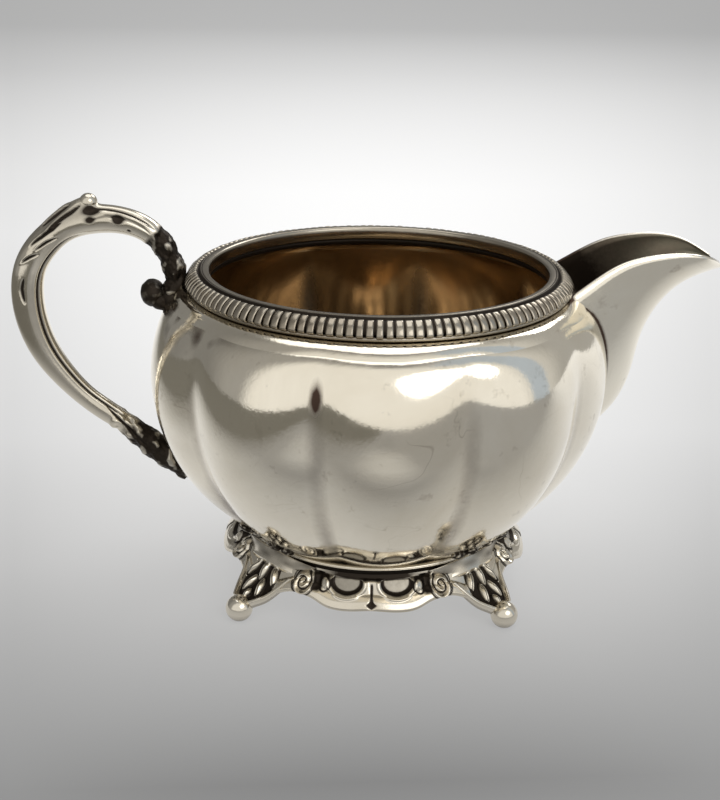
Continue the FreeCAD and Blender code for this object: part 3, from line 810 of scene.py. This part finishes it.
bud = [
    bud_part("bud", (BACK + 15.9, 0, ARCH + 0.55), (1.75, 1.7, 1.75), 0.0, 0.12),
    bud_part("curl_knob", (BACK + 27.2, 0, ARCH - 17.3), (2.35, 2.7, 2.75), 0.0, 0.55, 0.06),
    bud_part("curl_neck", (BACK + 28.9, 0, ARCH - 18.9), (2.6, 2.5, 1.9), 0.3, 0.7, 0.06),
    bud_part("curl_root", (BACK + 30.9, 0, ARCH - 18.6), (2.5, 2.6, 2.9), 0.0, 0.75, 0.08),
]
handle = joined("scroll_handle", [bar] + bud)
outward(handle)

# %% [markdown]
# ## The base
# Under the bowl sits a ring, and from it a cast skirt flares out: four broad
# legs, each with a leaf in relief and a polished ball, and between them four
# scroll borders with dark hollows.  Each is a patch of the same flared skirt,
# pushed in and out by its own pattern.

# %% The ring under the bowl
ring = turned_piece("bowl_ring", [
    (24.9, BOTTOM - 2.5, 0.6), (26.8, BOTTOM - 2.55, 0.8), (27.2, BOTTOM - 2.2, 0.8),
    (27.2, BOTTOM - 0.6, 0.7), (27.45, BOTTOM - 0.15, 0.1), (27.5, BOTTOM + 0.1, 0.0),
    (27.2, BOTTOM + 0.28, 0.2), (25.2, BOTTOM + 0.2, 0.8), (24.9, BOTTOM - 0.1, 0.6)])


# %% The flared skirt
def skirt(drop):
    """Radius of the skirt at a drop below the bottom of the bowl."""
    share = np.clip(drop / 6.0, 0, 1.4)
    return 27.6 + 3.3 * share ** 1.35


def ridge(distance, width):
    return np.exp(-(distance / width) ** 2)


def border_relief(x, y):
    """Height of the scroll border's relief and darkness of its hollows."""
    ax = np.abs(x)
    low = 5.35 + 1.5 / (1 + np.exp((ax - 9.8) / 1.1)) - 0.35 * ridge(ax, 3.5)
    low = low + 1.5 * unit((ax - 14.0) / 5.0) ** 2
    # dark concave band under the ring
    band = unit((2.15 - y) / 0.35)
    height = -0.75 * band * unit(y / 0.35)
    dark = (0.12 + 0.88 * ridge(ax, 8.5)) * band * unit(y / 0.25)
    # polished rail along the waved lower edge
    rail = unit((y - (low - 2.3)) / 0.9) * unit((low + 0.25 - y) / 0.8)
    height = height + 0.75 * np.sqrt(unit(rail))
    # hollows like half moons, open at the top, with a bright rim round them
    moon = np.hypot((ax - 5.0) / 3.2, np.maximum(y - 2.5, 0) / 1.95)
    inside = unit((1.0 - moon) / 0.12) * (y > 2.0)
    height = height - (0.55 + 0.75 * np.sqrt(unit(rail))) * inside
    dark = dark + 0.34 * inside + 0.9 * ridge(moon - 0.93, 0.09) * (y > 2.1)
    height = height + 0.45 * ridge(moon - 1.16, 0.12) * unit((y - 1.7) / 0.4)
    # a bead beside each hollow, then a notch and a curl against the leg
    bead = np.hypot(ax - 9.3, y - 3.1)
    height = height + 0.55 * unit(1.05 - bead) ** 0.5 * (bead < 1.05)
    dark = dark + 0.7 * ridge(bead - 1.15, 0.16)
    notch = ridge(ax - 10.9, 0.75) * unit((4.5 - y) / 0.6) * unit((y - 1.5) / 0.4)
    height = height - 0.7 * notch
    dark = dark + 1.2 * notch
    curl = np.hypot(ax - 13.7, y - 3.3)
    turned = np.arctan2(y - 3.3, ax - 13.7) / (2 * math.pi)
    wound = np.mod(curl / 1.15 - turned + 0.25, 1.0)
    within = unit((2.3 - curl) / 0.3)
    height = height + 0.75 * ridge(wound - 0.5, 0.26) * within
    dark = dark + 0.95 * (ridge(wound, 0.13) + ridge(wound - 1, 0.13)) * within
    dark = dark + 0.7 * ridge(curl - 2.4, 0.16)
    # the seam in the middle, with a small dark leaf under it
    seam = ridge(ax, 0.24) * unit((y - 2.4) / 0.5) * unit((low - 0.8 - y) / 0.5)
    leaf = unit(1 - (ax / 1.15 + np.abs(y - 5.6) / 0.85)) ** 0.5
    height = height - 0.35 * seam - 0.25 * leaf
    dark = dark + seam + 1.1 * leaf
    return height, dark, low


def border_patch(name, middle):
    wide = np.linspace(-19.6, 19.6, 190)
    share = np.linspace(0, 1, 64)
    x = np.repeat(wide[None, :], 64, 0)
    _, _, low = border_relief(x, x * 0)
    y = share[:, None] * low
    height, dark, _ = border_relief(x, y)
    angle = x / 29.5
    radius = skirt(y) + height * unit(share[:, None] * 9)
    level = BOTTOM - 0.05 - y
    back = skirt(y) - 1.3
    outer = np.stack([radius * np.cos(angle), radius * np.sin(angle), level], -1)
    inner = np.stack([back * np.cos(angle), back * np.sin(angle), level], -1)
    lip_row = (outer[-1:] + inner[-1:]) / 2
    lip_row[..., 2] -= 0.45
    top_row = (outer[:1] + inner[:1]) / 2
    grid = np.concatenate([outer, lip_row, inner[::-1], top_row])
    tarnish_and_shade = np.concatenate([dark, dark[-1:] * 0, dark[::-1] * 0 + 0.5, dark[:1]])
    spun = turn_grid(grid, middle)
    piece = grid_piece(name, np.swapaxes(spun, 0, 1), around=True, tarnish_and_shade=tarnish_and_shade.T, caps=True)
    return outward(piece)


def turn_grid(grid, angle):
    c, s = math.cos(angle + TURN), math.sin(angle + TURN)
    x, y = grid[..., 0], grid[..., 1]
    return np.stack([x * c - y * s, x * s + y * c, grid[..., 2]], -1)


# %% One leg with its leaf, and its ball
BALL_AT = 36.6
BALL = 2.67
LEG = [
    # radius, height, half width
    (28.0, 12.3, 10.2), (28.9, 10.4, 8.2), (30.1, 8.5, 6.5), (31.8, 6.8, 5.3),
    (33.6, 5.5, 4.3), (35.0, 4.8, 3.3), (36.1, 4.2, 2.4)]
# each leaflet: place across and down the leg, lean, length, width
LEAFLETS = [
    (-3.0, 4.9, -0.42, 4.6, 1.7), (0.0, 4.5, 0.0, 4.6, 1.7), (3.0, 4.9, 0.42, 4.6, 1.7),
    (-1.5, 7.9, -0.24, 4.6, 1.55), (1.5, 7.9, 0.24, 4.6, 1.55), (0.0, 10.2, 0.0, 3.0, 1.2)]


def leg_patch(name, middle):
    line = smooth_line([(r, 0.0, z, w) for r, z, w in LEG], 110)
    tangent = np.gradient(line[:, :3], axis=0)
    tangent /= np.linalg.norm(tangent, axis=1)[:, None]
    out = np.stack([-tangent[:, 2], np.zeros(110), tangent[:, 0]], -1)
    length = np.r_[0, np.cumsum(np.linalg.norm(np.diff(line[:, :3], axis=0), axis=1))][:, None]
    share = length / length[-1]
    u = np.linspace(-1, 1, 96)[None, :]
    half = line[:, 3][:, None]
    au = np.abs(u)
    # raised rails along both edges, running on into the border
    low_down = unit((length - 2.0) / 1.6)
    edge = ridge(np.maximum((1 - au) * half - 0.35, 0), 0.72) * low_down
    leaf = np.zeros_like(share * u)
    veins = np.zeros_like(leaf)
    for across, down, lean, long, wide in LEAFLETS:
        dx = u * half - across
        dy = length - down
        q = dx * math.cos(lean) - dy * math.sin(lean)
        p = dx * math.sin(lean) + dy * math.cos(lean)
        d = np.hypot(p / (long / 2), q / (wide / 2 * (1.0 - 0.35 * np.clip(p / long, -0.5, 0.5))))
        body = unit(1 - d) ** 0.5
        leaf = np.maximum(leaf, body)
        veins = np.maximum(veins, ridge(q, 0.13) * (d < 0.75))
    zone = unit((length - 2.6) / 0.8) * unit((1.0 - share) / 0.05)
    floor = zone * (1 - leaf) * (1 - edge)
    height = zone * (0.85 * leaf - 0.28 * veins) - 0.55 * floor + 0.55 * edge
    height -= 0.07 * half * u ** 2 * 2 + 1.3 * (1 - low_down) * au ** 3
    dark = unit(floor * 1.3 - 0.5) + 0.55 * veins * zone
    # the top of each leg, just below the bowl, is painted darker with a faint ripple: partly brown tarnish,
    # partly painted shade under the bowl
    top = unit((3.4 - length) / 2.0) * (1 - edge)
    dark = dark + (0.30 + 0.10 * np.sin(u * 9) * np.cos(length * 2)) * top
    dark = dark + 0.75 * ridge((1 - au) * half - 1.6, 0.22) * zone
    spread = u * half
    sideways = np.array([0, 1.0, 0])
    thick = 1.5 + 0.1 * half * u ** 2
    outer = line[:, None, :3] + out[:, None, :] * height[..., None] + sideways * spread[..., None]
    inner = line[:, None, :3] - out[:, None, :] * thick[..., None] + sideways * (spread * 0.93)[..., None]
    grid = np.concatenate([outer, inner[:, ::-1]], axis=1)
    tarnish_and_shade = np.concatenate([dark, dark * 0 + 0.12], axis=1)
    plate = grid_piece(name + "_plate", turn_grid(grid, middle), around=True, tarnish_and_shade=tarnish_and_shade, caps=True)
    outward(plate)
    shape = bmesh.new()
    bmesh.ops.create_uvsphere(shape, u_segments=48, v_segments=32, radius=BALL * MM)
    centre = turn_grid(np.array([BALL_AT, 0.0, BALL - 0.22]), middle)
    for vertex in shape.verts:
        vertex.co += Vector(centre * MM)
        vertex.co.z = max(vertex.co.z, 0.0)
    mesh = bpy.data.meshes.new(name + "_ball")
    shape.to_mesh(mesh)
    shape.free()
    # painted shade: each ball is painted darker from its middle down to the floor, by up to 0.42
    low = [(BALL - vertex.co.z / MM) / BALL for vertex in mesh.vertices]
    note_tarnish_and_shade(mesh, [0.42 * max(0.0, value) for value in low])
    return joined(name, [plate, placed(name + "_ball", mesh)])


# %% The small leaves that climb from each leg on to the bowl
# each leaflet: swing round the bowl, inner end, length, width
HALF_CREST = [(0.205, 28.3, 3.0, 1.15), (0.14, 28.4, 4.2, 1.2), (0.075, 28.2, 2.6, 1.0)]
CREST = [(-swing, *size) for swing, *size in HALF_CREST] + HALF_CREST[::-1]
LEAF_SLOPE = math.atan2(2.4, 4.0)


def crest_leaf(name, middle):
    # the low part of the crown line, where the radius still grows
    low_crown = crown_line[:60]
    low_share = np.linspace(0, 1, len(crown_line))[:60]
    parts = []
    for swing, start, length, wide in CREST:
        angle = middle + TURN + swing
        radius = start + length * 0.5
        share = np.interp(radius, low_crown[:, 0], low_share)
        drop, _ = lobe_drop(np.array([angle]), share)
        crown = np.interp(radius + drop[0], low_crown[:, 0], low_crown[:, 2])
        sizes = (length * 0.62, wide, 0.85)
        part = bud_part("leaflet", (radius, 0, crown), sizes, -LEAF_SLOPE, 0.55, 0.22)
        part.data.transform(Matrix.Rotation(angle, 4, "Z"))
        parts.append(part)
    return outward(joined(name, parts))


# %% Make the base all the way round
QUARTER = math.pi / 2
borders = {side: border_patch("scroll_border_" + side, turn) for side, turn in
           (("spout_side", 0), ("back", QUARTER), ("handle_side", 2 * QUARTER), ("front", 3 * QUARTER))}
legs, crests = {}, {}
for corner, turn in (("front_right", -0.5), ("back_right", 0.5), ("back_left", 1.5), ("front_left", 2.5)):
    legs[corner] = leg_patch("leaf_leg_" + corner, turn * QUARTER)
    crests[corner] = crest_leaf("climbing_leaf_" + corner, turn * QUARTER)
print("leg faces", len(legs["front_left"].data.polygons))

# %% [markdown]
# ## Dress the pieces
# Each new piece stands for the CAD node of the same form, rides on the one
# body of the jug and takes one of the silver finishes.

# %% Finishes, riding and replacing
def dress(piece, material, *nodes):
    if not piece.data.materials:
        piece.data.materials.append(material)
    piece.data.transform(Matrix.Translation((AHEAD * MM, 0, 0)))
    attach(piece, "root")
    if nodes:
        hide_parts(*nodes)


dress(bowl, body_silver, "bowl")
dress(bead, rim_silver, "rim_under_bead")
dress(lip, rim_silver, "rim_top_lip")
dress(core, rim_silver)
dress(ribs, rim_silver, "rim_gadroon_band")
dress(spout, spout_silver_painted_brighter, "spout")
dress(handle, cast_silver, "handle")
dress(ring, cast_silver, "base_collar")
for side, node in (("spout_side", "spout"), ("back", "back"), ("handle_side", "handle"), ("front", "front")):
    dress(borders[side], cast_silver, "scroll_border_" + node)
for corner in legs:
    dress(legs[corner], cast_silver, "foot_" + corner)
    dress(crests[corner], cast_silver, "leaf_crest_" + corner)

# %% [markdown]
# ## Floor, light and camera
# A pale sweep runs under and behind the jug.  Polished metal shows its room,
# so large soft lamps and a world with a bright wall in front, a darker left
# side and a dark ceiling give the silver something calm to reflect.

# %% The sweep
# The table has the tone of an old cut-out backdrop, painted on as a pool of
# light: brightest behind the jug, with painted shade in front of it and towards
# both sides.  It is laid out for the main view: the wedge of the bright pool was
# worked out from where that camera stands, and from other sides its edges can be
# seen.  Each stop is a distance behind the jug in metres, up the back wall too,
# and a tone.
MIDDLE = [(-0.16, 0.28), (-0.13, 0.46), (-0.10, 0.48), (-0.075, 0.24), (-0.02, 0.61), (0.01, 0.75),
          (0.07, 0.88), (0.20, 0.955), (0.40, 0.955), (1.0, 0.70), (2.0, 0.48)]
EDGE = [(-0.075, 0.30), (0.0, 0.54), (0.07, 0.69), (0.30, 0.79), (0.45, 0.76), (1.0, 0.58), (2.0, 0.46)]
FRONT, REAR = -0.20, 2.1
# the pool's middle line, its half width beside the jug, and how they go on per
# metre of distance
POOL_MIDDLE, POOL_LEAN, POOL_HALF, POOL_WIDENS = 0.001, 0.0616, 0.0754, 0.2706


def tone_ramp(finish, stretch, table):
    """Tone by distance; a square root gives the near stops more room."""
    length = math.sqrt(REAR - FRONT)
    return finish.ramp(stretch * (1 / length), [
        (math.sqrt(at - FRONT) / length, (tone, tone, tone)) for at, tone in table])


def make_sweep():
    turns = np.linspace(0, math.pi / 2, 20)
    bend = [(1.6 + 0.6 * math.sin(t), 0.6 - 0.6 * math.cos(t)) for t in turns]
    run = np.array([(-0.42, 0.0), (1.6, 0.0)] + bend[1:])
    grid = np.stack([np.stack([np.full(len(run), x), run[:, 0], run[:, 1]], -1)
                     for x in np.linspace(-1.6, 1.6, 3)])
    floor = grid_piece("sweep", grid / MM)
    floor.data.flip_normals()
    finish = Finish("sweep_paint")
    place = finish.node("ShaderNodeTexCoord", out=3)
    apart = finish.node("ShaderNodeSeparateXYZ", i0=place)
    outs = apart.socket.node.outputs
    x, y, z = (Wire(finish.tree, outs[k]) for k in range(3))
    along = (y + z).maths("MAXIMUM", FRONT)
    stretch = (along - FRONT) ** 0.5
    # 0 on the pool's middle line, 1 and -1 at its two edges
    aside = x - POOL_MIDDLE - along * POOL_LEAN
    aside = aside.maths("DIVIDE", along * POOL_WIDENS + POOL_HALF)
    far_side = (aside.maths("ABSOLUTE", 0.0) ** 2.0).maths("MINIMUM", 1.0)
    tone = finish.mix(far_side, tone_ramp(finish, stretch, MIDDLE), tone_ramp(finish, stretch, EDGE))
    # the table falls away into shade on the left
    left = finish.node("ShaderNodeMapRange", i0=aside, i1=-1.14, i2=-2.14)
    tone = finish.mix(left, tone, (0.16, 0.155, 0.14))
    # painted shade: higher up the back wall the tone falls to a dark grey
    high = finish.node("ShaderNodeMapRange", i0=z, i1=0.10, i2=0.22)
    tone = finish.mix(high, tone, (0.12, 0.115, 0.105))
    # the sweep also glows for rays that look at it: 0.68 of its tone straight
    # from the camera, 0.85 of it in the silver and through glass
    path = finish.node("ShaderNodeLightPath")
    rays = path.socket.node.outputs
    seen = Wire(finish.tree, rays["Is Camera Ray"]) * 0.8 + Wire(finish.tree, rays["Is Glossy Ray"])
    seen = (seen + Wire(finish.tree, rays["Is Transmission Ray"])).maths("MINIMUM", 1.0)
    finish.set(Base_Color=finish.mix(0.62, tone, (0.0, 0.0, 0.0)), Roughness=0.9,
               Emission_Color=finish.mix(seen * 0.85, (0.0, 0.0, 0.0), tone), Emission_Strength=1.0)
    finish.shader.inputs["Specular IOR Level"].default_value = 0.0
    floor.data.materials.append(finish.material)


make_sweep()


# %% Lamps
def soft_lamp(name, place, aim, size, power):
    lamp = bpy.data.lights.new(name, "AREA")
    lamp.shape = "ELLIPSE"
    lamp.size, lamp.size_y = size
    lamp.energy = power
    holder = bpy.data.objects.new(name, lamp)
    bpy.context.collection.objects.link(holder)
    holder.location = place
    holder.rotation_euler = (Vector(aim) - Vector(place)).to_track_quat("-Z", "Y").to_euler()


soft_lamp("window", (0.42, -0.75, 0.60), (0, 0, 0.04), (0.75, 0.60), 1.55)
soft_lamp("ceiling", (0.0, 0.2, 1.3), (0, 0, 0), (1.2, 1.2), 5.4)
soft_lamp("back_light", (0.6, 0.9, 0.9), (0, 0, 0.04), (0.8, 0.5), 3.8)

# %% World: a bright wall in front, a darker room on the left, a dark ceiling
world = bpy.data.worlds.new("room")
bpy.context.scene.world = world
world.use_nodes = True
room = world.node_tree
background = room.nodes["Background"]
where = room.nodes.new("ShaderNodeTexCoord")
split = room.nodes.new("ShaderNodeSeparateXYZ")
room.links.new(where.outputs["Generated"], split.inputs[0])
to_x, to_y, to_z = (Wire(room, split.outputs[k]) for k in range(3))


def step_up(wire, start, end):
    """Rises smoothly from 0 at start to 1 at end."""
    node = room.nodes.new("ShaderNodeMapRange")
    node.interpolation_type = "SMOOTHSTEP"
    for place, value in enumerate((wire, start, end, 0.0, 1.0)):
        put(room, node.inputs[place], value)
    return Wire(room, node.outputs[0])


side = step_up(to_x, -0.6, 0.6) * 0.30 + 0.36
behind = step_up(to_y, -0.1, 0.35)
side = side * (behind * -0.38 + 1.0)
front = step_up(to_y * -1.0, 0.28, 0.52)
bright = side + front * (side * -1.0 + 0.92)
dim = step_up(to_z, 0.87, 0.985)
level = bright + dim * (bright * -1.0 + 0.18)
# a blue-grey curtain at the right edge of the window
curtain = step_up(to_x, 0.30, 0.45) * step_up(to_y * -1.0, 0.02, 0.08)
curtain = curtain * (step_up(to_y * -1.0, 0.33, 0.37) * -1.0 + 1.0)
level = level * (curtain * -0.10 + 1.0)
shade = room.nodes.new("ShaderNodeCombineColor")
for place, gain, cool in ((0, 1.0, -0.20), (1, 0.985, -0.08), (2, 0.95, 0.10)):
    put(room, shade.inputs[place], level * gain * (curtain * cool + 1.0))
room.links.new(shade.outputs[0], background.inputs[0])
background.inputs[1].default_value = 1.0

# %% Camera
AWAY, LEVEL, SIDE, TILT, PAN, ROLL = 0.230, 0.1251, -4.5, 21.05, 0.83, 0.9
side = math.radians(SIDE)
facing = Vector((-math.sin(side), math.cos(side), 0)).normalized()
facing.rotate(Matrix.Rotation(math.radians(PAN), 3, "Z"))
tilt = math.radians(TILT)
forward = facing * math.cos(tilt) + Vector((0, 0, -math.sin(tilt)))
right = forward.cross(Vector((0, 0, 1))).normalized()
up = right.cross(forward)
roll = math.radians(ROLL)
right, up = right * math.cos(roll) + up * math.sin(roll), up * math.cos(roll) - right * math.sin(roll)
view = bpy.data.cameras.new("view")
view.lens = 54.0
view.sensor_width = 36.0
view.clip_start = 0.01
camera = bpy.data.objects.new("view", view)
bpy.context.collection.objects.link(camera)
camera.matrix_world = Matrix((
    (right.x, up.x, -forward.x, AWAY * math.sin(side) + AHEAD * MM),
    (right.y, up.y, -forward.y, -AWAY * math.cos(side)),
    (right.z, up.z, -forward.z, LEVEL),
    (0, 0, 0, 1)))
bpy.context.scene.camera = camera
bpy.context.scene.view_settings.view_transform = "Standard"
